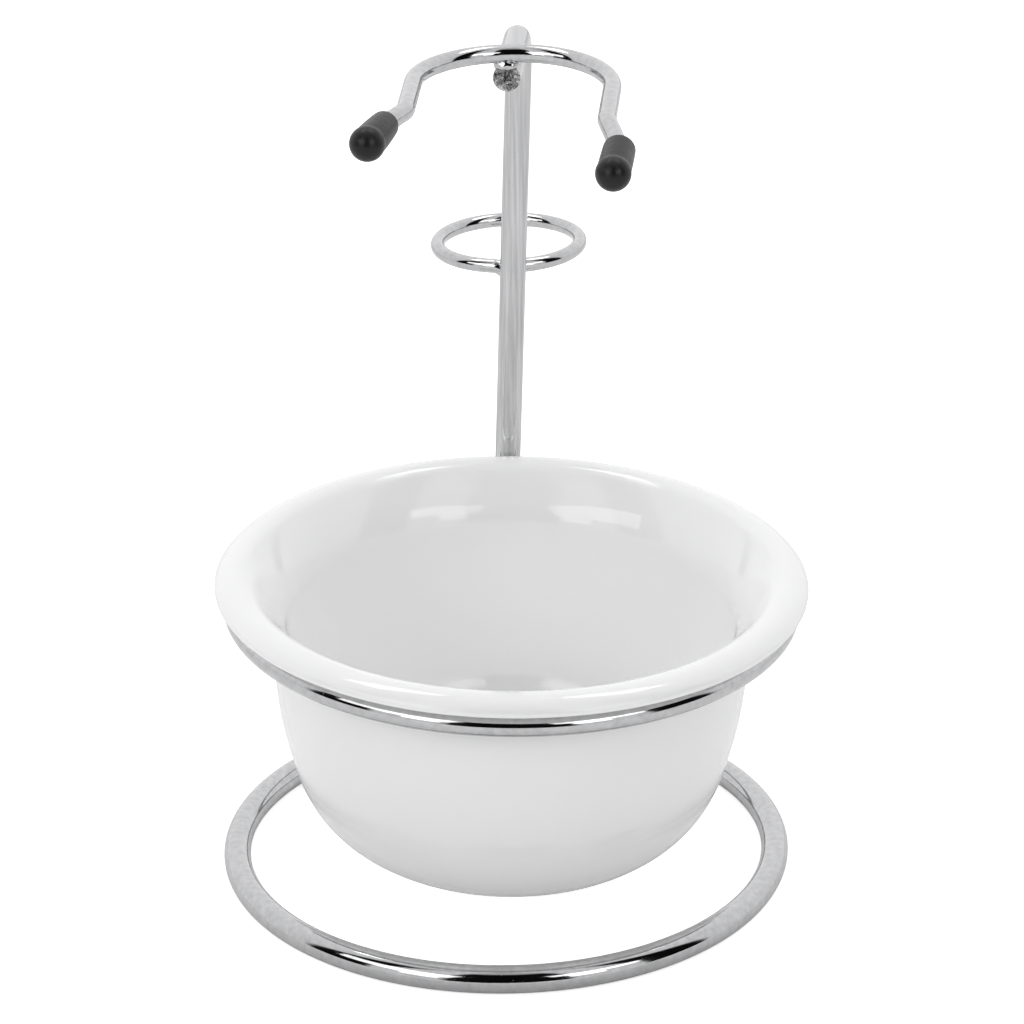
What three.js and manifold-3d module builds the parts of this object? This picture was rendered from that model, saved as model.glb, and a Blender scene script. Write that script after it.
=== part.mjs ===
// Wet-shaving stand of bent, chromed wire, with a lift-out bowl.
// Millimetres, +Z up. +Y points to the back, where the post stands, and the open end of the
// brush fork points to -Y. The pieces are laid out from the middle of the base ring, and the
// whole stand is then moved so that its origin is on the table, under the middle of its box.

import * as THREE from 'three';
import { mergeVertices } from 'three/addons/utils/BufferGeometryUtils.js';
import Module from 'manifold-3d';

const wasm = await Module();
wasm.setup();

// Clearance between neighbouring solids, where the real pieces touch.
const GAP = 0.3;

// Base ring, lying on the table.
const BASE_WIRE = 5.0;
const BASE_RADIUS = 50.5;

// Post: stands behind both rings, leans a little to the right, and is bent forward at the top.
const POST_WIRE = 5.0;
const POST_Y = BASE_RADIUS + BASE_WIRE / 2 + POST_WIRE / 2 + GAP;
const POST_FOOT_X = -0.74;
const POST_FOOT_Z = 0.6;
const POST_LEAN = 2.09;
const POST_BEND = 8.0;
const STUB_Z = 144.6;
const STUB_END_X = 1.9;
const STUB_END_Y = 23.2;

// Bowl ring, welded square to the leaning post, so a little low at its right and its front.
const BOWL_RING_WIRE = 4.0;
const BOWL_RING_RADIUS = 50.75;
const BOWL_RING_X = 1.55;
const BOWL_RING_Y = 0.3;
const BOWL_RING_Z = 53.1;
const BOWL_RING_LOW_FRONT = 0.96;
const BOWL_RING_LOW_RIGHT = 1.13;

// Brush fork: a horseshoe welded on top of the stub, seen along its own forward direction.
const FORK_WIRE = 3.3;
const FORK_Y = 23.75;
const FORK_SHIFT = 2.3;
const FORK_HALF = 17.6;
const FORK_KINK_HALF = 17.15;
const FORK_KINK_BEND = 4.0;
const FORK_BEND = 17.4;
const FORK_ARMS = {
  left: { side: -1, kink: 33.7, drop: 0.6, flare: 23.0, slope: 2.8, end: 10.5 },
  right: { side: 1, kink: 32.5, drop: 2.2, flare: 13.8, slope: 7.8, end: 13.8 },
};

// Rubber tips: a sleeve over each end of the fork, closed by a ball. Collar and straight are
// measured along the fork's end, and the ball is at [across, forward, up] in the fork's frame.
const TIP_SLEEVE = 5.6;
const TIP_BALL = 6.1;
const TIPS = {
  left: { collar: 6.9, straight: 11.0, ball: [-19.6, 49.9, -1.4] },
  right: { collar: 11.3, straight: 14.3, ball: [21.5, 52.85, -5.1] },
};

// Razor ring: a small hoop behind the post. One end turns down to the post's back as a tail, and
// the other stops just short of it. Angle 0 faces the post, and angles grow towards the left.
const RAZOR_WIRE = 2.8;
const RAZOR_RADIUS = 14.0;
const RAZOR_X = 2.05;
const RAZOR_Y = 74.3;
const RAZOR_Z = 96.0;
const RAZOR_HIGH_RIGHT = 1.1;
const RAZOR_FIRST_ANGLE = 16;
const RAZOR_LAST_ANGLE = 349;
const RAZOR_TAIL_X = 2.3;
const RAZOR_TAIL_DROP = 2.2;
const RAZOR_TAIL_BEND = 0.45;

// Weld metal where a ring meets the post, and where the fork lies on the stub.
const WELD_ACROSS = 3.0;
const WELD_DEPTH = 2.2;
const BASE_WELD_RISE = 0.6;
const RAZOR_WELD_SHIFT = -0.8;
const FORK_WELD = [2.9, 2.4, 1.7];

// Bowl, hanging by its rim in the bowl ring. Its profile is given as [radius, height].
const BOWL_Y = -1.3;
const BOWL_FOOT = [30.0, 8.1];
const BOWL_FOOT_RECESS = 1.4;
const BOWL_FOOT_WIDTH = 4.0;
const BOWL_FOOT_SLOPE = 1.0;
const BOWL_FOOT_EDGE = 0.8;
const BOWL_FOOT_CURVE = [37.9, 13.2];
const BOWL_CREASE = [40.1, 22.3];
const BOWL_WALL_CURVE = [44.2, 35.8];
const BOWL_NECK = [43.3, 48.5];
const BOWL_SEAT_CURVE = [43.5, 53.4];
const BOWL_SEAT = [46.9, 54.7];
const BOWL_SEAT_EDGE = [48.9, 55.45];
const BOWL_RIM_RADIUS = 54.0;
const BOWL_LIP = 0.9;
const BOWL_LIP_Z = 57.5;
const BOWL_ROLL = 4.7;
const BOWL_ROLL_CENTRE = [50.27, 55.0];
const BOWL_ROLL_END = THREE.MathUtils.degToRad(135);
const BOWL_THROAT = [41.2, 49.0];
const BOWL_THROAT_CURVE = [41.6, 53.0];
const BOWL_WELL_WALL = [36.5, 23.5];
const BOWL_WELL_WALL_CURVE = [40.2, 36.0];
const BOWL_WELL_FLOOR = [23.0, 12.4];
const BOWL_WELL_FLOOR_CURVE = [33.5, 12.8];

// Facets.
const WIRE_SIDES = 12;
const THIN_WIRE_SIDES = 10;
const RING_STEPS = 48;
const BOWL_STEPS = 48;
const BOWL_CURVE_STEPS = 5;
const RAZOR_STEPS = 26;
const BALL_FACETS = [16, 12];
const WELD_FACETS = [14, 8];
const BEND_STEP = THREE.MathUtils.degToRad(15);

function material(color, roughness, metalness) {
  return new THREE.MeshStandardMaterial({ color, roughness, metalness });
}

const chrome = material(0xd2d4d8, 0.08, 1.0);
const weldMetal = material(0xb9bbbf, 0.25, 1.0);
const rubber = material(0x2a2a2b, 0.6, 0.0);
const glaze = material(0xf0f0f0, 0.12, 0.0);

const stand = new THREE.Group();

function addPiece(name, geometry, surface) {
  const piece = new THREE.Mesh(geometry, surface);
  piece.name = name;
  stand.add(piece);
}

// --- Solids -------------------------------------------------------------------------------

function toSolid(geometry) {
  const plain = geometry.clone();
  plain.deleteAttribute('normal');
  plain.deleteAttribute('uv');
  const merged = mergeVertices(plain, 1e-4);
  const mesh = new wasm.Mesh({
    numProp: 3,
    vertProperties: new Float32Array(merged.attributes.position.array),
    triVerts: new Uint32Array(merged.index.array),
  });
  return new wasm.Manifold(mesh);
}

function toGeometry(solid) {
  const mesh = solid.getMesh();
  const geometry = new THREE.BufferGeometry();
  geometry.setAttribute('position', new THREE.BufferAttribute(mesh.vertProperties, 3));
  geometry.setIndex(new THREE.BufferAttribute(mesh.triVerts, 1));
  geometry.computeVertexNormals();
  return geometry;
}

// --- Wire ---------------------------------------------------------------------------------

// A path through given stations, with one step of the extrusion to each station.
class StationPath extends THREE.Curve {
  constructor(stations) {
    super();
    this.stations = stations;
  }

  getUtoTmapping(u) {
    return u;
  }

  getPoint(t, target = new THREE.Vector3()) {
    const along = t * (this.stations.length - 1);
    const index = Math.min(Math.floor(along), this.stations.length - 2);
    return target.lerpVectors(this.stations[index], this.stations[index + 1], along - index);
  }
}

// Stations along straight legs with a true arc at each corner between them.
function bend(corners, radii) {
  const stations = [corners[0].clone()];
  for (let i = 1; i < corners.length - 1; i += 1) {
    const back = corners[i - 1].clone().sub(corners[i]).normalize();
    const ahead = corners[i + 1].clone().sub(corners[i]).normalize();
    const turn = Math.PI - back.angleTo(ahead);
    const radius = radii[i - 1];
    const start = corners[i].clone().addScaledVector(back, radius * Math.tan(turn / 2));
    const inward = back.clone().add(ahead).normalize();
    const centre = corners[i].clone().addScaledVector(inward, radius / Math.cos(turn / 2));
    const spoke = start.clone().sub(centre);
    const axis = spoke.clone().cross(back.clone().negate()).normalize();
    const steps = Math.max(2, Math.ceil(turn / BEND_STEP));
    for (let k = 0; k <= steps; k += 1) {
      const arm = spoke.clone().applyAxisAngle(axis, (turn * k) / steps);
      stations.push(centre.clone().add(arm));
    }
  }
  stations.push(corners[corners.length - 1].clone());
  return stations.filter((p, i) => i === 0 || p.distanceTo(stations[i - 1]) > 0.05);
}

// The section's flats, not its corners, lie at the wire's true radius.
function wireSection(diameter, sides) {
  const corner = diameter / 2 / Math.cos(Math.PI / sides);
  const points = [];
  for (let i = 0; i < sides; i += 1) {
    const angle = (2 * Math.PI * (i + 0.5)) / sides;
    points.push(new THREE.Vector2(corner * Math.cos(angle), corner * Math.sin(angle)));
  }
  return points;
}

function wire(stations, diameter, sides) {
  const section = new THREE.Shape(wireSection(diameter, sides));
  const path = new StationPath(stations);
  return new THREE.ExtrudeGeometry(section, { steps: stations.length - 1, extrudePath: path });
}

// A closed ring lying flat, with its middle at the origin.
function ring(radius, diameter, sides, steps) {
  const section = wireSection(diameter, sides).map((p) => new THREE.Vector2(radius + p.x, p.y));
  section.push(section[0].clone());
  return new THREE.LatheGeometry(section, steps).rotateX(Math.PI / 2);
}

// --- Rings on the post ----------------------------------------------------------------------

function baseRing(diameter) {
  return ring(BASE_RADIUS, diameter, WIRE_SIDES, RING_STEPS).translate(0, 0, BASE_WIRE / 2);
}

// Turns what is square to the post's upper part, and moves it to the bowl ring's middle.
function hang(geometry) {
  geometry.rotateX(THREE.MathUtils.degToRad(BOWL_RING_LOW_FRONT));
  geometry.rotateY(THREE.MathUtils.degToRad(BOWL_RING_LOW_RIGHT));
  return geometry.translate(BOWL_RING_X, BOWL_RING_Y, BOWL_RING_Z);
}

function bowlRing(diameter) {
  return hang(ring(BOWL_RING_RADIUS, diameter, WIRE_SIDES, RING_STEPS));
}

// --- Post -----------------------------------------------------------------------------------

function postX(z) {
  return POST_FOOT_X + (z - POST_FOOT_Z) * Math.tan(THREE.MathUtils.degToRad(POST_LEAN));
}

const stubStart = new THREE.Vector3(postX(STUB_Z), POST_Y, STUB_Z);
const stubEnd = new THREE.Vector3(STUB_END_X, STUB_END_Y, STUB_Z);

function post(diameter, extra = 0) {
  const foot = new THREE.Vector3(POST_FOOT_X, POST_Y, POST_FOOT_Z);
  const outward = stubEnd.clone().sub(stubStart).normalize();
  const end = stubEnd.clone().addScaledVector(outward, extra);
  return wire(bend([foot, stubStart, end], [POST_BEND]), diameter, WIRE_SIDES);
}

// --- Brush fork -----------------------------------------------------------------------------

// The fork points the same way as the stub under it.
const forkForward = stubEnd.clone().sub(stubStart).normalize();
const forkAcross = new THREE.Vector3(0, 0, 1).cross(forkForward);
const forkRise = POST_WIRE / 2 + FORK_WIRE / 2 + GAP;
const stubReach = (FORK_Y - stubStart.y) / forkForward.y;
const forkOrigin = stubStart.clone().addScaledVector(forkForward, stubReach);
forkOrigin.z += forkRise;

function forkPoint(lateral, forward, height) {
  const point = forkOrigin.clone().addScaledVector(forkAcross, lateral);
  point.addScaledVector(forkForward, forward);
  point.z += height;
  return point;
}

function kinkPoint(arm) {
  return forkPoint(FORK_SHIFT + arm.side * FORK_KINK_HALF, arm.kink, -arm.drop);
}

function flareDirection(arm) {
  const flare = THREE.MathUtils.degToRad(arm.flare);
  const slope = THREE.MathUtils.degToRad(arm.slope);
  const direction = forkForward.clone().multiplyScalar(Math.cos(flare) * Math.cos(slope));
  direction.addScaledVector(forkAcross, arm.side * Math.sin(flare) * Math.cos(slope));
  direction.z -= Math.sin(slope);
  return direction;
}

function forkEnd(arm, reach) {
  return kinkPoint(arm).addScaledVector(flareDirection(arm), reach);
}

function brushFork(diameter, extra = 0) {
  const { left, right } = FORK_ARMS;
  const corners = [
    forkEnd(left, left.end + extra),
    kinkPoint(left),
    forkPoint(FORK_SHIFT - FORK_HALF, 0, 0),
    forkPoint(FORK_SHIFT + FORK_HALF, 0, 0),
    kinkPoint(right),
    forkEnd(right, right.end + extra),
  ];
  const radii = [FORK_KINK_BEND, FORK_BEND, FORK_BEND, FORK_KINK_BEND];
  return wire(bend(corners, radii), diameter, THIN_WIRE_SIDES);
}

// --- Rubber tips ----------------------------------------------------------------------------

const forkBore = toSolid(brushFork(FORK_WIRE + 2 * GAP, GAP));

function rubberTip(arm, tip) {
  const collar = forkEnd(arm, tip.collar);
  const wireEnd = forkEnd(arm, tip.straight);
  const ballCentre = forkPoint(...tip.ball);
  const middle = wireEnd.clone().add(ballCentre).multiplyScalar(0.5);
  const sleeve = toSolid(wire([collar, wireEnd, middle, ballCentre], TIP_SLEEVE, WIRE_SIDES));
  const ball = new THREE.SphereGeometry(TIP_BALL / 2, ...BALL_FACETS);
  ball.translate(ballCentre.x, ballCentre.y, ballCentre.z);
  return toGeometry(sleeve.add(toSolid(ball)).subtract(forkBore));
}

// --- Razor ring -----------------------------------------------------------------------------

function razorPoint(degrees) {
  const angle = THREE.MathUtils.degToRad(degrees);
  const tilt = THREE.MathUtils.degToRad(RAZOR_HIGH_RIGHT);
  const lateral = -RAZOR_RADIUS * Math.sin(angle);
  return new THREE.Vector3(
    RAZOR_X + lateral * Math.cos(tilt),
    RAZOR_Y - RAZOR_RADIUS * Math.cos(angle),
    RAZOR_Z + lateral * Math.sin(tilt),
  );
}

function razorRing(diameter) {
  const back = POST_Y + POST_WIRE / 2 + RAZOR_WIRE / 2 + GAP;
  const tail = new THREE.Vector3(RAZOR_TAIL_X, back, RAZOR_Z - RAZOR_TAIL_DROP);
  const first = razorPoint(RAZOR_FIRST_ANGLE);
  const stations = [tail, tail.clone().lerp(first, RAZOR_TAIL_BEND).setY(back)];
  const sweep = RAZOR_LAST_ANGLE - RAZOR_FIRST_ANGLE;
  for (let k = 0; k <= RAZOR_STEPS; k += 1) {
    stations.push(razorPoint(RAZOR_FIRST_ANGLE + (sweep * k) / RAZOR_STEPS));
  }
  return wire(stations, diameter, THIN_WIRE_SIDES);
}

// --- Welds ----------------------------------------------------------------------------------

const clearPost = post(POST_WIRE + 2 * GAP, GAP);

// A collar of weld metal around the place where two wires cross.
function weld(centre, size, first, second) {
  const blob = new THREE.SphereGeometry(1, ...WELD_FACETS);
  blob.scale(size.x, size.y, size.z);
  blob.translate(centre.x, centre.y, centre.z);
  const collar = toSolid(blob).subtract(toSolid(first)).subtract(toSolid(second));
  const pieces = collar.decompose();
  pieces.sort((a, b) => b.volume() - a.volume());
  return toGeometry(pieces[0]);
}

// A weld on the post: side is -1 on its front and 1 on its back.
function weldToPost(z, side, offset, crossing) {
  const centre = new THREE.Vector3(postX(z) + offset, POST_Y + (side * POST_WIRE) / 2, z);
  const size = new THREE.Vector3(WELD_ACROSS, WELD_DEPTH, WELD_ACROSS);
  return weld(centre, size, clearPost, crossing);
}

// --- Bowl -----------------------------------------------------------------------------------

function bowlProfile() {
  const [footRadius, footZ] = BOWL_FOOT;
  const [rollRadius, rollZ] = BOWL_ROLL_CENTRE;
  const lipRadius = BOWL_RIM_RADIUS - BOWL_LIP;
  const lipAngle = Math.atan2(BOWL_LIP_Z - rollZ, lipRadius - rollRadius);
  const profile = new THREE.Path();
  // Underside: a shallow recess inside the foot.
  profile.moveTo(0, footZ + BOWL_FOOT_RECESS);
  profile.lineTo(footRadius - BOWL_FOOT_WIDTH - BOWL_FOOT_SLOPE, footZ + BOWL_FOOT_RECESS);
  profile.lineTo(footRadius - BOWL_FOOT_WIDTH, footZ);
  profile.lineTo(footRadius - BOWL_FOOT_EDGE, footZ);
  // Foot band, crease, wall, and the seat under the rim.
  profile.lineTo(footRadius, footZ + BOWL_FOOT_EDGE / 2);
  profile.quadraticCurveTo(...BOWL_FOOT_CURVE, ...BOWL_CREASE);
  profile.quadraticCurveTo(...BOWL_WALL_CURVE, ...BOWL_NECK);
  profile.quadraticCurveTo(...BOWL_SEAT_CURVE, ...BOWL_SEAT);
  profile.lineTo(...BOWL_SEAT_EDGE);
  // Lip, rolled top of the rim, throat, well wall and well floor.
  profile.absarc(lipRadius, BOWL_LIP_Z, BOWL_LIP, -Math.PI / 2, lipAngle, false);
  profile.absarc(rollRadius, rollZ, BOWL_ROLL, lipAngle, BOWL_ROLL_END, false);
  profile.quadraticCurveTo(...BOWL_THROAT_CURVE, ...BOWL_THROAT);
  profile.quadraticCurveTo(...BOWL_WELL_WALL_CURVE, ...BOWL_WELL_WALL);
  profile.quadraticCurveTo(...BOWL_WELL_FLOOR_CURVE, ...BOWL_WELL_FLOOR);
  profile.lineTo(0, BOWL_WELL_FLOOR[1]);
  return profile.getPoints(BOWL_CURVE_STEPS);
}

function bowl() {
  const turned = new THREE.LatheGeometry(bowlProfile(), BOWL_STEPS).rotateX(Math.PI / 2);
  return hang(turned.translate(0, BOWL_Y - BOWL_RING_Y, -BOWL_RING_Z));
}

// --- Assembly -------------------------------------------------------------------------------

addPiece('base_ring', baseRing(BASE_WIRE), chrome);
addPiece('post', post(POST_WIRE), chrome);
addPiece('bowl_ring', bowlRing(BOWL_RING_WIRE), chrome);
addPiece('brush_fork', brushFork(FORK_WIRE), chrome);
addPiece('razor_ring', razorRing(RAZOR_WIRE), chrome);
addPiece('left_rubber_tip', rubberTip(FORK_ARMS.left, TIPS.left), rubber);
addPiece('right_rubber_tip', rubberTip(FORK_ARMS.right, TIPS.right), rubber);

const clearBaseRing = baseRing(BASE_WIRE + 2 * GAP);
const baseWeldZ = BASE_WIRE / 2 + BASE_WELD_RISE;
addPiece('base_ring_weld', weldToPost(baseWeldZ, -1, 0, clearBaseRing), weldMetal);

const clearBowlRing = bowlRing(BOWL_RING_WIRE + 2 * GAP);
const frontTilt = THREE.MathUtils.degToRad(BOWL_RING_LOW_FRONT);
const bowlWeldZ = BOWL_RING_Z + BOWL_RING_RADIUS * Math.sin(frontTilt);
addPiece('bowl_ring_weld', weldToPost(bowlWeldZ, -1, 0, clearBowlRing), weldMetal);

const clearRazorRing = razorRing(RAZOR_WIRE + 2 * GAP);
const razorWeldZ = RAZOR_Z - RAZOR_TAIL_DROP;
const razorWeld = weldToPost(razorWeldZ, 1, RAZOR_WELD_SHIFT, clearRazorRing);
addPiece('razor_ring_weld', razorWeld, weldMetal);

const clearFork = brushFork(FORK_WIRE + 2 * GAP);
const forkWeldCentre = forkOrigin.clone();
forkWeldCentre.z -= FORK_WIRE / 2 + GAP / 2;
const forkWeld = weld(forkWeldCentre, new THREE.Vector3(...FORK_WELD), clearPost, clearFork);
addPiece('brush_fork_weld', forkWeld, weldMetal);

addPiece('bowl', bowl(), glaze);

// The origin goes on the table, under the middle of the whole object's box.
const box = new THREE.Box3().setFromObject(stand);
const middle = box.getCenter(new THREE.Vector3());
stand.position.set(-middle.x, -middle.y, -box.min.z);

export default stand;
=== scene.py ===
import random
from math import acos, atan2, cos, pi, radians, sin, tan

import bmesh
import bpy
from mathutils import Matrix, Vector, noise


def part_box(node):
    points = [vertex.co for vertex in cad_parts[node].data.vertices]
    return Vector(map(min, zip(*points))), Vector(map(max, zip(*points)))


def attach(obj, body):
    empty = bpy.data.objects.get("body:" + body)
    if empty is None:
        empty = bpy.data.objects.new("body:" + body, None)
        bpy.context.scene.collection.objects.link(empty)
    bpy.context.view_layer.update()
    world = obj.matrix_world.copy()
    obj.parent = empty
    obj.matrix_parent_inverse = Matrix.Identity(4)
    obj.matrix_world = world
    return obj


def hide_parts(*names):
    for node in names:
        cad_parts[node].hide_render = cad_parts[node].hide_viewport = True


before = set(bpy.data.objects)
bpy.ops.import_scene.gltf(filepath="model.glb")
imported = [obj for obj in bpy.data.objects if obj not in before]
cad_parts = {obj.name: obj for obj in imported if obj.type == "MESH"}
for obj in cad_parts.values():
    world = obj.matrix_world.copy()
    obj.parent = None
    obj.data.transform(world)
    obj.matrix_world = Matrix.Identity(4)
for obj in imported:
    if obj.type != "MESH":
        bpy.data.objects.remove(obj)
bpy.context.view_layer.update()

# A shaving stand of bent, chromed wire with a glazed bowl. Lengths are in metres, +Z is up and
# +Y points to the back, where the post stands.


def middle(node):
    low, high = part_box(node)
    return (Vector(low) + Vector(high)) / 2


# --- Sizes --------------------------------------------------------------------------------------

MM = 0.001
GAP = 0.3 * MM

# Distances to the left and right, to the front and back, and up are from this point.
MIDDLE_OF_BASE = Vector((middle("base_ring").x, middle("base_ring").y, 0.0))

BASE_WIRE = 5.0 * MM
BASE_RADIUS = 50.5 * MM

POST_WIRE = 5.0 * MM
POST_BACK = BASE_RADIUS + BASE_WIRE / 2 + POST_WIRE / 2 + GAP
POST_FOOT_X = -0.74 * MM
POST_FOOT_Z = 0.6 * MM
POST_LEAN = radians(2.09)
POST_BEND = 8.0 * MM
STUB_Z = 144.6 * MM
STUB_END = (1.9 * MM, 23.2 * MM)

BOWL_RING_WIRE = 4.0 * MM
BOWL_RING_RADIUS = 50.75 * MM
BOWL_LOW_FRONT = radians(0.96)
BOWL_LOW_RIGHT = radians(1.13)

FORK_WIRE = 3.3 * MM
FORK_BACK = 23.75 * MM
FORK_SHIFT = 2.3 * MM
FORK_HALF = 17.6 * MM
FORK_BEND = 17.4 * MM
FORK_KINK_HALF = 17.15 * MM
FORK_KINK_BEND = 4.0 * MM
FORK_ARMS = {
    "left": {"side": -1, "kink": 33.7, "drop": 0.6, "flare": 23.0, "slope": 2.8, "end": 10.5},
    "right": {"side": 1, "kink": 32.5, "drop": 2.2, "flare": 13.8, "slope": 7.8, "end": 13.8},
}

# A tip's mouth is this far along the fork's end, its collar is this wide, and its ball is this far
# across, forward and up. All are in millimetres.
TIPS = {
    "left": {"mouth": 6.9, "collar": 5.0, "ball": (-19.6, 49.9, -1.4)},
    "right": {"mouth": 11.3, "collar": 5.6, "ball": (21.5, 52.85, -5.1)},
}
TIP_NECK = 5.8 * MM
TIP_BALL = 6.1 * MM

RAZOR_WIRE = 2.8 * MM
RAZOR_RADIUS = 14.0 * MM
RAZOR_MIDDLE = (2.05 * MM, 74.3 * MM, 96.0 * MM)
RAZOR_HIGH_RIGHT = radians(1.1)
RAZOR_FIRST_ANGLE = radians(16)
RAZOR_LAST_ANGLE = radians(349)
RAZOR_TAIL_X = 2.3 * MM
RAZOR_TAIL_DROP = 2.2 * MM

# A rubber tip's rounded collar, and the hole that the fork's end fills.
TIP_LIP = 0.8 * MM
TIP_BORE_DEPTH = 0.8 * MM
TIP_BORE_EDGE = 0.25 * MM
TIP_BORE_SLACK = 0.1 * MM

RAZOR_TAIL_BEND = 2.5 * MM
RAZOR_TAIL_START = 2.0 * MM

# The cut end is rough to these depths, and a weld bead swells and shrinks by this share.
CUT_DEEPEST = -0.9
CUT_HIGHEST = 0.1
WELD_LUMPS = 0.12
WELD_LUMP_SCALE = 2.2
WELD_LUMP_SPREAD = 900

WIRE_SIDES = 40
RING_STEPS = 200
BEND_STEP = radians(4)
BOWL_STEPS = 224
TIP_STEPS = 48

random.seed(7)

# --- Shader parts -------------------------------------------------------------------------------


def new_group(name, inputs, outputs):
    """A node group with named sockets. An input is its name, kind and starting value."""
    group = bpy.data.node_groups.new(name, "ShaderNodeTree")
    for label, kind, value in inputs:
        socket = group.interface.new_socket(label, in_out="INPUT", socket_type=kind)
        if value is not None:
            socket.default_value = value
    for label, kind in outputs:
        group.interface.new_socket(label, in_out="OUTPUT", socket_type=kind)
    return group, group.nodes.new("NodeGroupInput"), group.nodes.new("NodeGroupOutput")


def add(tree, kind, settings=None, values=None):
    """A node with its settings and the values of its named or numbered inputs."""
    node = tree.nodes.new(kind)
    for key, value in (settings or {}).items():
        setattr(node, key, value)
    for key, value in (values or {}).items():
        if isinstance(value, bpy.types.NodeSocket):
            tree.links.new(value, node.inputs[key])
        else:
            node.inputs[key].default_value = value
    return node


def plating_pits():
    """Small pits and grains that sit in plated metal, and the slow ripple of the metal under it."""
    group, given, result = new_group(
        "plating_pits",
        [
            ("Vector", "NodeSocketVector", None),
            ("Ripple Vector", "NodeSocketVector", None),
            ("Pit Scale", "NodeSocketFloat", 900.0),
            ("Pit Share", "NodeSocketFloat", 0.12),
            ("Ripple Scale", "NodeSocketFloat", 120.0),
            ("Ripple", "NodeSocketFloat", 0.3),
        ],
        [("Height", "NodeSocketFloat"), ("Pits", "NodeSocketFloat")],
    )
    patches = add(
        group, "ShaderNodeTexNoise", None,
        {"Vector": given.outputs["Vector"], "Scale": 60.0, "Detail": 2.0},
    )
    cells = add(
        group, "ShaderNodeTexVoronoi", {"feature": "F1"},
        {"Vector": given.outputs["Vector"], "Scale": given.outputs["Pit Scale"]},
    )
    size = add(
        group, "ShaderNodeMath", {"operation": "MULTIPLY"},
        {0: patches.outputs["Fac"], 1: given.outputs["Pit Share"]},
    )
    pits = add(
        group, "ShaderNodeMath", {"operation": "LESS_THAN"},
        {0: cells.outputs["Distance"], 1: size.outputs[0]},
    )
    ripple = add(
        group, "ShaderNodeTexNoise", None,
        {
            "Vector": given.outputs["Ripple Vector"],
            "Scale": given.outputs["Ripple Scale"],
            "Detail": 1.0,
        },
    )
    lift = add(
        group, "ShaderNodeMath", {"operation": "MULTIPLY"},
        {0: ripple.outputs["Fac"], 1: given.outputs["Ripple"]},
    )
    height = add(
        group, "ShaderNodeMath", {"operation": "SUBTRACT"},
        {0: lift.outputs[0], 1: pits.outputs[0]},
    )
    group.links.new(height.outputs[0], result.inputs["Height"])
    group.links.new(pits.outputs[0], result.inputs["Pits"])
    return group


def mottle():
    """Cloudy patches between two tones, with a finer grain over them."""
    group, given, result = new_group(
        "mottle",
        [
            ("Vector", "NodeSocketVector", None),
            ("Light", "NodeSocketColor", (1, 1, 1, 1)),
            ("Dark", "NodeSocketColor", (0, 0, 0, 1)),
            ("Scale", "NodeSocketFloat", 80.0),
            ("Grain Scale", "NodeSocketFloat", 1200.0),
        ],
        [("Color", "NodeSocketColor"), ("Clouds", "NodeSocketFloat"), ("Grain", "NodeSocketFloat")],
    )
    clouds = add(
        group, "ShaderNodeTexNoise", None,
        {"Vector": given.outputs["Vector"], "Scale": given.outputs["Scale"], "Detail": 4.0},
    )
    grain = add(
        group, "ShaderNodeTexNoise", None,
        {"Vector": given.outputs["Vector"], "Scale": given.outputs["Grain Scale"], "Detail": 2.0},
    )
    tone = add(
        group, "ShaderNodeMix", {"data_type": "RGBA"},
        {"Factor": clouds.outputs["Fac"], 6: given.outputs["Light"], 7: given.outputs["Dark"]},
    )
    group.links.new(tone.outputs[2], result.inputs["Color"])
    group.links.new(clouds.outputs["Fac"], result.inputs["Clouds"])
    group.links.new(grain.outputs["Fac"], result.inputs["Grain"])
    return group


PITS = plating_pits()
MOTTLE = mottle()


def new_material(name, **constants):
    """A material with a Principled shader, whose constant values are set on its own sockets."""
    material = bpy.data.materials.new(name)
    material.use_nodes = True
    tree = material.node_tree
    shader = tree.nodes["Principled BSDF"]
    for label, value in constants.items():
        shader.inputs[label.replace("_", " ")].default_value = value
    place = tree.nodes.new("ShaderNodeTexCoord").outputs["Object"]
    return material, tree, shader, place


def bump(tree, shader, height, distance, strength=1.0):
    values = {"Height": height, "Distance": distance, "Strength": strength}
    node = add(tree, "ShaderNodeBump", None, values)
    tree.links.new(node.outputs["Normal"], shader.inputs["Normal"])


def between(tree, value, low, high):
    """Spreads a value from 0 to 1 over a wanted range."""
    node = add(tree, "ShaderNodeMapRange", None, {"Value": value, "To Min": low, "To Max": high})
    return node.outputs["Result"]


def chrome(
    name, stretch=(1, 1, 1), pit_share=0.12, ripple=0.3, ripple_scale=120.0,
    tones_from=0.68, tones_to=0.43, tone_scale=800.0,
):
    """Bright plate on drawn wire. A small stretch along one axis draws the ripple out into lines."""
    material, tree, shader, place = new_material(name, Metallic=1.0)
    mapping = add(tree, "ShaderNodeMapping", None, {"Vector": place, "Scale": stretch})
    pits = add(
        tree, "ShaderNodeGroup", {"node_tree": PITS},
        {
            "Vector": place,
            "Ripple Vector": mapping.outputs["Vector"],
            "Pit Share": pit_share,
            "Ripple": ripple,
            "Ripple Scale": ripple_scale,
        },
    )
    tones = add(
        tree, "ShaderNodeGroup", {"node_tree": MOTTLE},
        {
            "Vector": mapping.outputs["Vector"],
            "Light": (tones_from, tones_from, 1.01 * tones_from, 1),
            "Dark": (tones_to, tones_to, 1.01 * tones_to, 1),
            "Scale": tone_scale,
        },
    )
    tree.links.new(tones.outputs["Color"], shader.inputs["Base Color"])
    tree.links.new(between(tree, tones.outputs["Clouds"], 0.035, 0.11), shader.inputs["Roughness"])
    bump(tree, shader, pits.outputs["Height"], 0.05 * MM)
    return material


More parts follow.
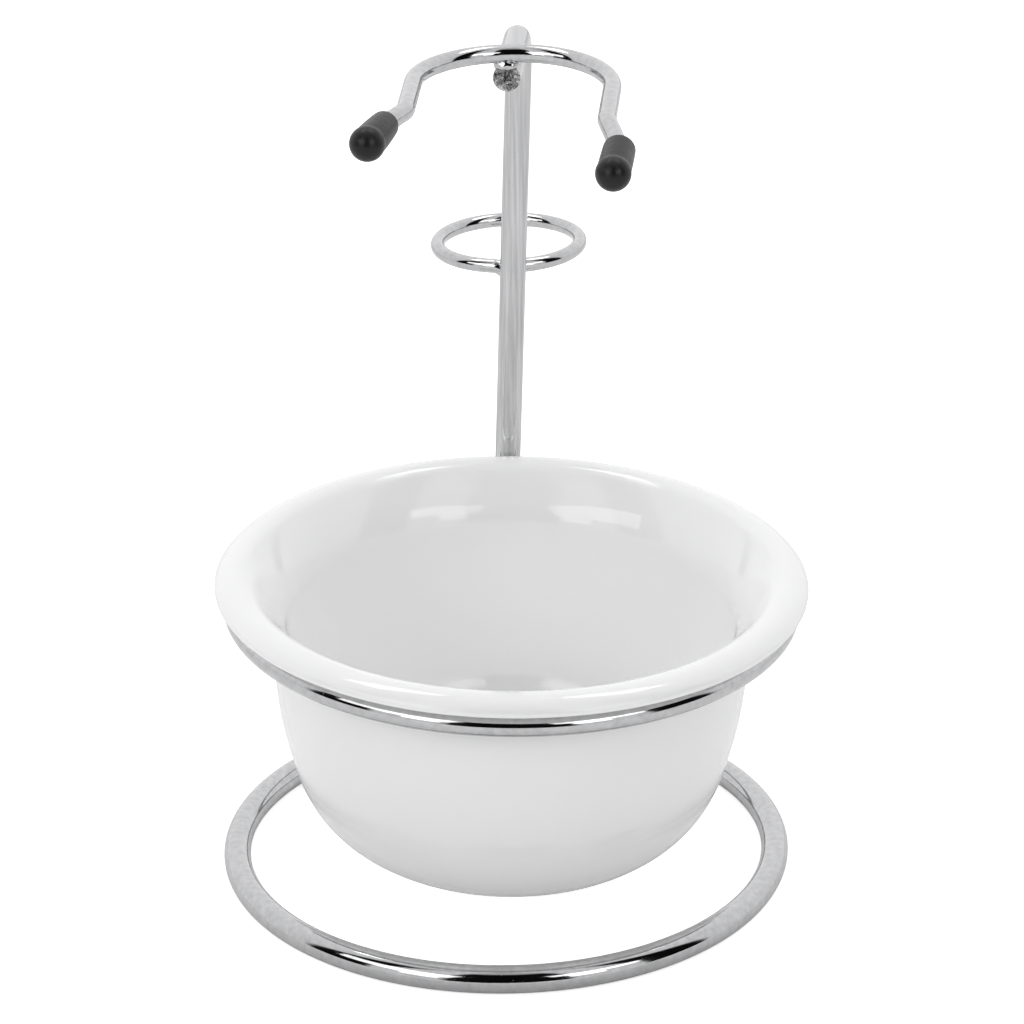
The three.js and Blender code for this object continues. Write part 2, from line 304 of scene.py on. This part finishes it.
def saw_cut_with_painted_shade():
    """The cut end of the post, plated over its saw marks. Its colour holds painted shade: it runs from
    white to near black over cloudy patches.
    """
    material, tree, shader, place = new_material("plated_saw_cut_painted_shade", Metallic=1.0)
    # Painted shade: the near-black patches in the metal's colour stand in for shade in the saw marks,
    # over the same clouds that raise the bumps.
    tones = add(
        tree, "ShaderNodeGroup", {"node_tree": MOTTLE},
        {"Vector": place, "Light": (1.0, 1.0, 1.0, 1), "Dark": (0.1, 0.1, 0.1, 1), "Scale": 1100.0},
    )
    tree.links.new(tones.outputs["Color"], shader.inputs["Base Color"])
    tree.links.new(between(tree, tones.outputs["Clouds"], 0.03, 0.12), shader.inputs["Roughness"])
    bump(tree, shader, tones.outputs["Clouds"], 0.5 * MM)
    return material


def black_rubber():
    material, tree, shader, place = new_material("black_rubber", Specular_IOR_Level=0.32)
    tones = add(
        tree, "ShaderNodeGroup", {"node_tree": MOTTLE},
        {
            "Vector": place,
            "Light": (0.004, 0.004, 0.0042, 1),
            "Dark": (0.013, 0.013, 0.0135, 1),
            "Scale": 500.0,
        },
    )
    tree.links.new(tones.outputs["Color"], shader.inputs["Base Color"])
    tree.links.new(between(tree, tones.outputs["Clouds"], 0.26, 0.42), shader.inputs["Roughness"])
    bump(tree, shader, tones.outputs["Grain"], 0.04 * MM)
    return material


def white_glaze():
    material, tree, shader, place = new_material(
        "white_glaze", Coat_Weight=0.25, Coat_Roughness=0.02, IOR=1.5
    )
    tones = add(
        tree, "ShaderNodeGroup", {"node_tree": MOTTLE},
        {
            "Vector": place,
            "Light": (0.965, 0.965, 0.962, 1),
            "Dark": (0.95, 0.95, 0.947, 1),
            "Scale": 45.0,
        },
    )
    tree.links.new(tones.outputs["Color"], shader.inputs["Base Color"])
    tree.links.new(between(tree, tones.outputs["Clouds"], 0.035, 0.07), shader.inputs["Roughness"])
    bump(tree, shader, tones.outputs["Clouds"], 0.12 * MM, 0.5)
    return material


# --- Making pieces ------------------------------------------------------------------------------


def finish(name, mesh, materials, body, node):
    """Turns a bmesh into a piece that stands for a CAD node and rides on its body."""
    bmesh.ops.recalc_face_normals(mesh, faces=mesh.faces)
    for face in mesh.faces:
        face.smooth = True
    data = bpy.data.meshes.new(name)
    mesh.to_mesh(data)
    mesh.free()
    data.set_sharp_from_angle(angle=radians(40))
    for material in materials:
        data.materials.append(material)
    piece = bpy.data.objects.new(name, data)
    bpy.context.collection.objects.link(piece)
    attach(piece, body)
    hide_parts(node)
    return piece


def sized_by(diameter):
    return max(20, round(WIRE_SIDES * diameter / BASE_WIRE))


def start_wire(mesh, place, heading, diameter):
    """The round section that a wire is drawn from."""
    turned = heading.to_track_quat("Z", "Y").to_matrix().to_4x4()
    made = bmesh.ops.create_circle(
        mesh, segments=sized_by(diameter), radius=diameter / 2, matrix=Matrix.Translation(place) @ turned
    )
    return list({edge for vertex in made["verts"] for edge in vertex.link_edges})


def draw_straight(mesh, section, step):
    """Draws the wire's open end on by a straight step."""
    made = bmesh.ops.extrude_edge_only(mesh, edges=section)["geom"]
    ends = [item for item in made if isinstance(item, bmesh.types.BMVert)]
    bmesh.ops.translate(mesh, verts=ends, vec=step)
    return [item for item in made if isinstance(item, bmesh.types.BMEdge)]


def draw_bend(mesh, section, centre, axis, angle):
    """Draws the wire's open end round a centre."""
    steps = max(3, round(abs(angle) / BEND_STEP))
    made = bmesh.ops.spin(mesh, geom=section, cent=centre, axis=axis, angle=angle, steps=steps)
    return [item for item in made["geom_last"] if isinstance(item, bmesh.types.BMEdge)]


def draw_through(mesh, section, corners, radii):
    """Draws the wire from the first corner to the last, round a bend at each corner between."""
    place = corners[0]
    for corner, after, radius in zip(corners[1:], corners[2:], radii):
        heading = (corner - place).normalized()
        leaving = (after - corner).normalized()
        angle = heading.angle(leaving)
        reach = corner - heading * radius * tan(angle / 2)
        section = draw_straight(mesh, section, reach - place)
        inward = (leaving - heading * leaving.dot(heading)).normalized()
        section = draw_bend(mesh, section, reach + inward * radius, heading.cross(inward), angle)
        place = corner + leaving * radius * tan(angle / 2)
    return draw_straight(mesh, section, corners[-1] - place)


def close_end(mesh, section, rounding=0.12):
    """Closes a wire's end with a flat face whose edge is broken."""
    face = bmesh.ops.edgeloop_fill(mesh, edges=section)["faces"]
    width = face[0].edges[0].calc_length() * len(face[0].edges) / (2 * pi) * rounding
    bmesh.ops.bevel(
        mesh, geom=face[0].edges[:], offset=width, affect="EDGES", segments=3, profile=0.5, material=-1
    )


def closed_ring(name, centre_matrix, radius, diameter, material):
    mesh = bmesh.new()
    upright = Matrix.Translation((radius, 0, 0)) @ Matrix.Rotation(pi / 2, 4, "X")
    bmesh.ops.create_circle(mesh, segments=sized_by(diameter), radius=diameter / 2, matrix=upright)
    bmesh.ops.spin(
        mesh, geom=mesh.edges[:], cent=(0, 0, 0), axis=(0, 0, 1), angle=2 * pi, steps=RING_STEPS,
        use_merge=True,
    )
    bmesh.ops.transform(mesh, matrix=centre_matrix, verts=mesh.verts)
    return finish(name, mesh, [material], "stand", name.replace("_wire", ""))


# --- Rings --------------------------------------------------------------------------------------

HANG = (
    Matrix.Translation(middle("bowl_ring"))
    @ Matrix.Rotation(BOWL_LOW_RIGHT, 4, "Y")
    @ Matrix.Rotation(BOWL_LOW_FRONT, 4, "X")
)


def base_ring():
    raised = Matrix.Translation(MIDDLE_OF_BASE + Vector((0, 0, BASE_WIRE / 2)))
    closed_ring("base_ring_wire", raised, BASE_RADIUS, BASE_WIRE, chrome("chrome_base"))


def bowl_ring():
    closed_ring("bowl_ring_wire", HANG, BOWL_RING_RADIUS, BOWL_RING_WIRE, chrome("chrome_bowl_ring"))


# --- Post ---------------------------------------------------------------------------------------


def post_at(height):
    """The middle of the leaning post at a height."""
    across = POST_FOOT_X + (height - POST_FOOT_Z) * tan(POST_LEAN)
    return MIDDLE_OF_BASE + Vector((across, POST_BACK, height))


POST_TOP = post_at(STUB_Z)
STUB_TIP = MIDDLE_OF_BASE + Vector((STUB_END[0], STUB_END[1], STUB_Z))
FORWARD = (STUB_TIP - POST_TOP).normalized()
ACROSS = Vector((0, 0, 1)).cross(FORWARD)


def crinkle(mesh, face, rings=6):
    """Breaks an end face into rings of small facets."""
    radius = face.calc_perimeter() / (2 * pi)
    inner = face
    for _ in range(rings):
        bmesh.ops.inset_region(mesh, faces=[inner], thickness=radius / (rings + 1), use_even_offset=True)
    bmesh.ops.poke(mesh, faces=[inner])


def post():
    mesh = bmesh.new()
    foot = post_at(POST_FOOT_Z)
    section = start_wire(mesh, foot, (POST_TOP - foot).normalized(), POST_WIRE)
    close_end(mesh, section)
    section = [edge for edge in mesh.edges if edge.is_boundary]
    section = draw_through(mesh, section, [foot, POST_TOP, STUB_TIP], [POST_BEND])
    face = bmesh.ops.edgeloop_fill(mesh, edges=section)["faces"][0]
    face.material_index = 1
    crinkle(mesh, face)
    for vertex in mesh.verts:
        depth = (vertex.co - STUB_TIP).dot(FORWARD)
        across = (vertex.co - STUB_TIP - FORWARD * depth).length
        if abs(depth) < 0.01 * MM and across < 0.9 * POST_WIRE / 2:
            vertex.co += FORWARD * random.uniform(CUT_DEEPEST, CUT_HIGHEST) * MM
    for face in mesh.faces:
        if face.material_index == 0 and face.calc_center_median().z > STUB_Z - POST_BEND / 2:
            face.material_index = 2
    metal = chrome(
        "chrome_post", stretch=(1, 1, 0.03), pit_share=0.24, ripple=0.6, ripple_scale=1300.0,
        tones_from=0.84, tones_to=0.30, tone_scale=1500.0,
    )
    stub_metal = chrome("chrome_stub", stretch=(1, 0.03, 1), ripple_scale=1300.0)
    finish("post_wire", mesh, [metal, saw_cut_with_painted_shade(), stub_metal], "stand", "post")


# --- Brush fork and its tips --------------------------------------------------------------------

FORK_RISE = POST_WIRE / 2 + FORK_WIRE / 2 + GAP
FORK_START = POST_TOP + FORWARD * ((MIDDLE_OF_BASE.y + FORK_BACK - POST_TOP.y) / FORWARD.y)
FORK_START.z += FORK_RISE


def fork_point(across, forward, up):
    return FORK_START + ACROSS * across + FORWARD * forward + Vector((0, 0, up))


def kink_of(arm):
    return fork_point(FORK_SHIFT + arm["side"] * FORK_KINK_HALF, arm["kink"] * MM, -arm["drop"] * MM)


def flare_of(arm):
    """The way that a fork's end points: out to its side and down."""
    flare = radians(arm["flare"])
    slope = radians(arm["slope"])
    level = FORWARD * cos(flare) + ACROSS * arm["side"] * sin(flare)
    return level * cos(slope) - Vector((0, 0, sin(slope)))


def fork_end(arm, reach):
    return kink_of(arm) + flare_of(arm) * reach * MM


def brush_fork():
    left, right = FORK_ARMS["left"], FORK_ARMS["right"]
    corners = [
        fork_end(left, left["end"]),
        kink_of(left),
        fork_point(FORK_SHIFT - FORK_HALF, 0, 0),
        fork_point(FORK_SHIFT + FORK_HALF, 0, 0),
        kink_of(right),
        fork_end(right, right["end"]),
    ]
    mesh = bmesh.new()
    section = start_wire(mesh, corners[0], (corners[1] - corners[0]).normalized(), FORK_WIRE)
    close_end(mesh, section)
    section = [edge for edge in mesh.edges if edge.is_boundary]
    bends = [FORK_KINK_BEND, FORK_BEND, FORK_BEND, FORK_KINK_BEND]
    section = draw_through(mesh, section, corners, bends)
    close_end(mesh, section)
    finish("brush_fork_wire", mesh, [chrome("chrome_fork")], "stand", "brush_fork")


def arc(centre, radius, start, end, steps):
    """Points on a round stretch of a profile."""
    turns = [start + (end - start) * k / steps for k in range(steps + 1)]
    return [(centre[0] + radius * cos(turn), centre[1] + radius * sin(turn)) for turn in turns]


def curve(start, control, end, steps):
    """Points on a quadratic curve of a profile, without its first."""
    points = []
    for k in range(1, steps + 1):
        t = k / steps
        parts = zip(start, control, end)
        points.append(tuple((1 - t) ** 2 * a + 2 * t * (1 - t) * b + t * t * c for a, b, c in parts))
    return points


def turned(profile, steps):
    """A closed shell, turned from a profile of radii and heights that starts and ends on the axis."""
    mesh = bmesh.new()
    points = [mesh.verts.new((radius, 0, height)) for radius, height in profile]
    for first, second in zip(points, points[1:]):
        mesh.edges.new((first, second))
    bmesh.ops.spin(
        mesh, geom=mesh.verts[:] + mesh.edges[:], cent=(0, 0, 0), axis=(0, 0, 1), angle=2 * pi,
        steps=steps, use_merge=True,
    )
    bmesh.ops.remove_doubles(mesh, verts=mesh.verts, dist=1e-6)
    return mesh


def rubber_tip(side, rubber):
    """A sleeve with a rounded mouth, a soft neck and a ball end, turned on the line to the ball."""
    arm, tip = FORK_ARMS[side], TIPS[side]
    mouth = fork_end(arm, tip["mouth"])
    ball = fork_point(*(value * MM for value in tip["ball"]))
    length = (ball - mouth).length
    collar, neck, round_end = tip["collar"] * MM / 2, TIP_NECK / 2, TIP_BALL / 2
    bore = FORK_WIRE / 2 + TIP_BORE_SLACK
    edge = TIP_BORE_EDGE
    meeting = acos(neck / round_end)
    neck_height = length - round_end * sin(meeting)
    profile = [(0, TIP_BORE_DEPTH), (bore, TIP_BORE_DEPTH), (bore, edge)]
    profile += arc((bore + edge, edge), edge, pi, 1.5 * pi, 4)[1:]
    profile += arc((collar - TIP_LIP, TIP_LIP), TIP_LIP, -pi / 2, 0, 8)[1:]
    profile += curve((collar, TIP_LIP), (neck, 0.6 * neck_height), (neck, neck_height), 12)
    profile += arc((0, length), round_end, -meeting, pi / 2, 24)[1:]
    profile[-1] = (0, length + round_end)
    mesh = turned(profile, TIP_STEPS)
    heading = (ball - mouth).to_track_quat("Z", "Y").to_matrix().to_4x4()
    bmesh.ops.transform(mesh, matrix=Matrix.Translation(mouth) @ heading, verts=mesh.verts)
    finish(f"{side}_rubber_cap", mesh, [rubber], "stand", f"{side}_rubber_tip")


# --- Razor ring ---------------------------------------------------------------------------------

RAZOR_CENTRE = MIDDLE_OF_BASE + Vector(RAZOR_MIDDLE)
RAZOR_PLACE = Matrix.Translation(RAZOR_CENTRE) @ Matrix.Rotation(-RAZOR_HIGH_RIGHT, 4, "Y")


def razor_at(angle):
    """A point on the razor ring: angle 0 faces the post, and angles grow towards the left."""
    return RAZOR_PLACE @ Vector((-RAZOR_RADIUS * sin(angle), -RAZOR_RADIUS * cos(angle), 0))


def razor_ring():
    mesh = bmesh.new()
    axis = RAZOR_PLACE.to_3x3() @ Vector((0, 0, 1))
    start = razor_at(RAZOR_LAST_ANGLE)
    heading = axis.cross(start - RAZOR_CENTRE).normalized()
    section = start_wire(mesh, start, heading, RAZOR_WIRE)
    close_end(mesh, section)
    section = [edge for edge in mesh.edges if edge.is_boundary]
    sweep = RAZOR_LAST_ANGLE - RAZOR_FIRST_ANGLE
    section = draw_bend(mesh, section, RAZOR_CENTRE, axis, sweep)
    back = POST_BACK + POST_WIRE / 2 + RAZOR_WIRE / 2 + GAP
    tail = MIDDLE_OF_BASE + Vector((RAZOR_TAIL_X, back, RAZOR_MIDDLE[2] - RAZOR_TAIL_DROP))
    first = razor_at(RAZOR_FIRST_ANGLE)
    leaving = axis.cross(first - RAZOR_CENTRE).normalized()
    bend_place = first + leaving * RAZOR_TAIL_START
    section = draw_through(mesh, section, [first, bend_place, tail], [RAZOR_TAIL_BEND])
    close_end(mesh, section)
    finish("razor_ring_wire", mesh, [chrome("chrome_razor")], "stand", "razor_ring")


# --- Welds --------------------------------------------------------------------------------------


def weld_bead(name, node, centre, size, material):
    """A lump of weld metal that runs into both wires."""
    mesh = bmesh.new()
    bmesh.ops.create_icosphere(mesh, subdivisions=4, radius=1.0)
    for vertex in mesh.verts:
        lump = noise.noise(vertex.co * WELD_LUMP_SCALE + centre * WELD_LUMP_SPREAD)
        vertex.co *= 1 + WELD_LUMPS * lump
        vertex.co = Vector(a * b for a, b in zip(vertex.co, size)) + centre
    finish(name, mesh, [material], "stand", node)


def welds():
    metal = chrome("chrome_weld", pit_share=0.3, ripple=1.6, ripple_scale=700.0)
    for node, size in (
        ("base_ring_weld", (2.6, 1.3, 2.4)),
        ("bowl_ring_weld", (2.6, 1.3, 2.4)),
        ("razor_ring_weld", (1.6, 1.4, 1.5)),
        ("brush_fork_weld", (2.4, 2.0, 1.2)),
    ):
        weld_bead(node + "_bead", node, middle(node), [part * MM for part in size], metal)


# --- Bowl ---------------------------------------------------------------------------------------

BOWL_BACK = -1.3 * MM
BOWL_RING_BACK = 0.3 * MM
BOWL_RING_Z = 53.1 * MM
RIM_RADIUS = 54.0
LIP = 0.9
LIP_Z = 57.5
ROLL = 4.7
ROLL_CENTRE = (50.27, 55.0)
ROLL_END = radians(135)

# Points of the bowl's section, each a radius and a height in millimetres. First come those of the
# outside, from the middle of the underside up, and then those of the well, from the rim down.
RECESS_EDGE = (24.6, 9.5)
RECESS_FOOT = (25.9, 8.6)
FOOT_INNER = (26.8, 8.1)
FOOT_OUTER = (29.0, 8.1)
FOOT_EDGE = (30.4, 8.5)
UNDER_CREASE = (40.05, 22.05)
CREASE = (40.1, 22.3)
OVER_CREASE = (40.2, 22.6)
NECK = (43.3, 48.5)
SEAT = (46.9, 54.7)
SEAT_EDGE = (48.9, 55.45)
THROAT = (41.2, 49.0)
WELL_WALL = (36.5, 23.5)
WELL_FLOOR = (23.0, 12.4)


def bowl_profile():
    """The bowl's section in millimetres, from the middle of its underside to the middle of its well."""
    lip_radius = RIM_RADIUS - LIP
    lip_angle = atan2(LIP_Z - ROLL_CENTRE[1], lip_radius - ROLL_CENTRE[0])
    profile = [(0, RECESS_EDGE[1]), RECESS_EDGE]
    profile += curve(RECESS_EDGE, (25.6, 9.4), RECESS_FOOT, 4)
    profile += curve(RECESS_FOOT, (26.1, 8.1), FOOT_INNER, 4)
    profile += [FOOT_OUTER]
    profile += curve(FOOT_OUTER, (29.8, 8.1), FOOT_EDGE, 4)
    profile += curve(FOOT_EDGE, (37.9, 13.4), UNDER_CREASE, 24)
    profile += curve(UNDER_CREASE, CREASE, OVER_CREASE, 3)
    profile += curve(OVER_CREASE, (44.2, 35.8), NECK, 24)
    profile += curve(NECK, (43.5, 53.4), SEAT, 10)
    profile += [SEAT_EDGE]
    profile += curve(SEAT_EDGE, (51.2, 56.2), (lip_radius, LIP_Z - LIP), 3)
    profile += arc((lip_radius, LIP_Z), LIP, -pi / 2, lip_angle, 12)[1:]
    roll = arc(ROLL_CENTRE, ROLL, lip_angle, ROLL_END, 28)[1:]
    profile += roll
    profile += curve(roll[-1], (41.6, 53.0), THROAT, 24)
    profile += curve(THROAT, (40.2, 36.0), WELL_WALL, 24)
    profile += curve(WELL_WALL, (33.5, 12.8), WELL_FLOOR, 20)
    profile += curve(WELL_FLOOR, (12.0, 12.4), (0, 12.4), 6)
    return profile


def bowl():
    mesh = turned([(radius * MM, height * MM) for radius, height in bowl_profile()], BOWL_STEPS)
    place = HANG @ Matrix.Translation((0, BOWL_BACK - BOWL_RING_BACK, -BOWL_RING_Z))
    bmesh.ops.transform(mesh, matrix=place, verts=mesh.verts)
    finish("glazed_bowl", mesh, [white_glaze()], "bowl", "bowl")


# --- Room, lights and camera --------------------------------------------------------------------

CAMERA_BACK = -600.0 * MM
CAMERA_UP = 328.535 * MM
CAMERA_PITCH = radians(23.303)
CAMERA_YAW = radians(0.177)
CAMERA_ROLL = radians(-0.678)
CAMERA_LENS = 126.84


def camera():
    data = bpy.data.cameras.new("camera")
    data.sensor_width = 36.0
    data.lens = CAMERA_LENS
    data.clip_start = 0.01
    eye = bpy.data.objects.new("camera", data)
    eye.matrix_world = (
        Matrix.Translation(MIDDLE_OF_BASE + Vector((0, CAMERA_BACK, CAMERA_UP)))
        @ Matrix.Rotation(-CAMERA_YAW, 4, "Z")
        @ Matrix.Rotation(pi / 2 - CAMERA_PITCH, 4, "X")
        @ Matrix.Rotation(CAMERA_ROLL, 4, "Z")
    )
    bpy.context.collection.objects.link(eye)
    bpy.context.scene.camera = eye


def table():
    """A plain white table top that glows for the camera and far less for the stand."""
    material, tree, shader, place = new_material("table_white", Roughness=0.9)
    tones = add(
        tree, "ShaderNodeGroup", {"node_tree": MOTTLE},
        {"Vector": place, "Light": (0.9, 0.9, 0.9, 1), "Dark": (0.88, 0.88, 0.88, 1), "Scale": 8.0},
    )
    tree.links.new(tones.outputs["Color"], shader.inputs["Base Color"])
    tree.links.new(tones.outputs["Color"], shader.inputs["Emission Color"])
    seen = tree.nodes.new("ShaderNodeLightPath").outputs["Is Camera Ray"]
    tree.links.new(between(tree, seen, 0.06, 0.8), shader.inputs["Emission Strength"])
    mesh = bmesh.new()
    bmesh.ops.create_grid(mesh, x_segments=2, y_segments=2, size=6.0)
    data = bpy.data.meshes.new("table_top")
    mesh.to_mesh(data)
    mesh.free()
    data.materials.append(material)
    top = bpy.data.objects.new("table_top", data)
    bpy.context.collection.objects.link(top)


def softbox(name, turn, rise, distance, width, height, power):
    """A soft window of light, at a turn from the front and a rise above the table."""
    data = bpy.data.lights.new(name, "AREA")
    data.shape = "RECTANGLE"
    data.size = width
    data.size_y = height
    data.energy = power
    lamp = bpy.data.objects.new(name, data)
    target = Vector((0, 0, 0.06))
    turn, rise = radians(turn), radians(rise)
    way = Vector((sin(turn) * cos(rise), -cos(turn) * cos(rise), sin(rise)))
    lamp.location = target + way * distance
    lamp.rotation_euler = way.to_track_quat("Z", "Y").to_euler()
    bpy.context.collection.objects.link(lamp)


# Where each change of tone starts and ends: in degrees aside of the front, and for overhead as the
# upward part of the direction. The tones are shares of the brightest.
FRONT_GAP = (22, 27)
FLAG_NEAR = (56, 52)
FLAG_FAR = (78, 84)
SIDE_TO_BACK = (78, 150)
OVERHEAD = (0.88, 0.96)
OVERHEAD_TONE = 0.7
SIDE_TONE = 0.80
BACK_TONE = 0.96


def room():
    """A light tent: pale all round, with a dark gap at the front and a dark flag on either side."""
    world = bpy.data.worlds.new("light_tent")
    bpy.context.scene.world = world
    world.use_nodes = True
    tree = world.node_tree
    way = tree.nodes.new("ShaderNodeTexCoord").outputs["Generated"]
    parts = add(tree, "ShaderNodeSeparateXYZ", None, {0: way})
    turn = add(
        tree, "ShaderNodeMath", {"operation": "ARCTAN2"}, {0: parts.outputs["X"], 1: parts.outputs["Y"]}
    )
    # The front is at a turn of half a circle, so its distance from there is measured.
    off = add(tree, "ShaderNodeMath", {"operation": "ABSOLUTE"}, {0: turn.outputs[0]})
    aside = add(tree, "ShaderNodeMath", {"operation": "SUBTRACT"}, {0: pi, 1: off.outputs[0]}).outputs[0]

    def edge(value, start, end):
        node = add(
            tree, "ShaderNodeMapRange", {"interpolation_type": "SMOOTHSTEP"},
            {"Value": value, "From Min": start, "From Max": end},
        )
        return node.outputs["Result"]

    def join(first, second, operation):
        return add(tree, "ShaderNodeMath", {"operation": operation}, {0: first, 1: second}).outputs[0]

    past_gap = edge(aside, *map(radians, FRONT_GAP))
    before_flag = edge(aside, *map(radians, FLAG_NEAR))
    past_flag = edge(aside, *map(radians, FLAG_FAR))
    above = edge(parts.outputs["Z"], *OVERHEAD)
    beside = join(past_gap, join(before_flag, past_flag, "MAXIMUM"), "MULTIPLY")
    sides = add(
        tree, "ShaderNodeMapRange", None,
        {
            "Value": aside,
            "From Min": radians(SIDE_TO_BACK[0]),
            "From Max": radians(SIDE_TO_BACK[1]),
            "To Min": SIDE_TONE,
            "To Max": BACK_TONE,
        },
    )
    overhead = join(above, OVERHEAD_TONE, "MULTIPLY")
    light = join(join(beside, overhead, "MAXIMUM"), sides.outputs["Result"], "MULTIPLY")
    tone = add(
        tree, "ShaderNodeMix", {"data_type": "RGBA"},
        {"Factor": light, 6: (0.004, 0.004, 0.004, 1), 7: (1.08, 1.082, 1.09, 1)},
    )
    tree.links.new(tone.outputs[2], tree.nodes["Background"].inputs["Color"])


def lights():
    softbox("right_window", turn=35, rise=31, distance=1.2, width=0.70, height=0.25, power=1.0)
    softbox("right_sill", turn=30, rise=19, distance=1.2, width=0.28, height=0.25, power=0.4)
    softbox("left_window", turn=-45, rise=31, distance=1.2, width=0.93, height=0.40, power=2.1)
    softbox("left_sill", turn=-33, rise=16, distance=1.2, width=0.30, height=0.20, power=0.35)
    softbox("top_left_window", turn=-140, rise=66, distance=1.3, width=0.5, height=0.2, power=1.2)
    softbox("top_right_window", turn=140, rise=66, distance=1.3, width=0.5, height=0.2, power=1.2)


# --- The stand ----------------------------------------------------------------------------------

camera()
table()
room()
lights()
base_ring()
bowl_ring()
post()
brush_fork()
black = black_rubber()
for tip_side in ("left", "right"):
    rubber_tip(tip_side, black)
razor_ring()
welds()
bowl()

view = bpy.context.scene.view_settings
view.view_transform = "Standard"
